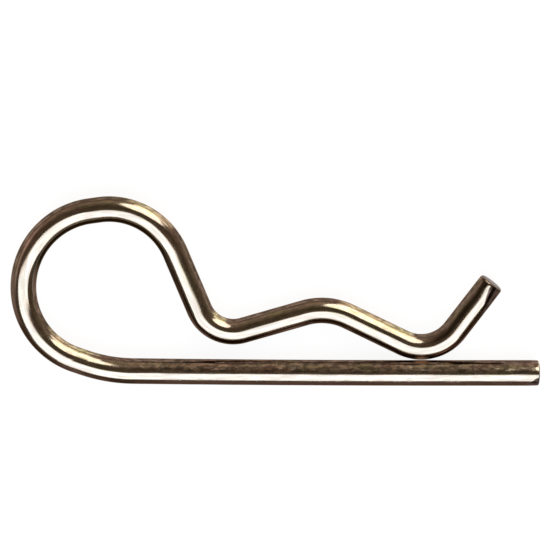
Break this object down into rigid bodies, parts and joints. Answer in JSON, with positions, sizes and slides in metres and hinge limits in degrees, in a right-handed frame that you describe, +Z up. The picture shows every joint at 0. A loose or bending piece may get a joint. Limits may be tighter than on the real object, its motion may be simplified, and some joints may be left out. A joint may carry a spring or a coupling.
{
  "type": "hitch pin r clip",
  "caption": "Spring wire R clip: straight leg, large pull loop, saddle for a hitch pin's shaft, pinch bend and flared tip, bent from one round wire.",
  "frame": {"origin": "centre of the saddle, on the axis of the straight leg, in the middle plane of the wire", "axes": "+X along the straight leg to its free end, +Y towards the sprung leg, +Z up out of the plane that the clip lies in"},
  "size_m": [0.082, 0.0294, 0.004],
  "materials": {
    "wire": "bright drawn spring steel wire with a gold chromate finish"
  },
  "bodies": {
    "root": {"clip": "wire"}
  },
  "joints": []
}
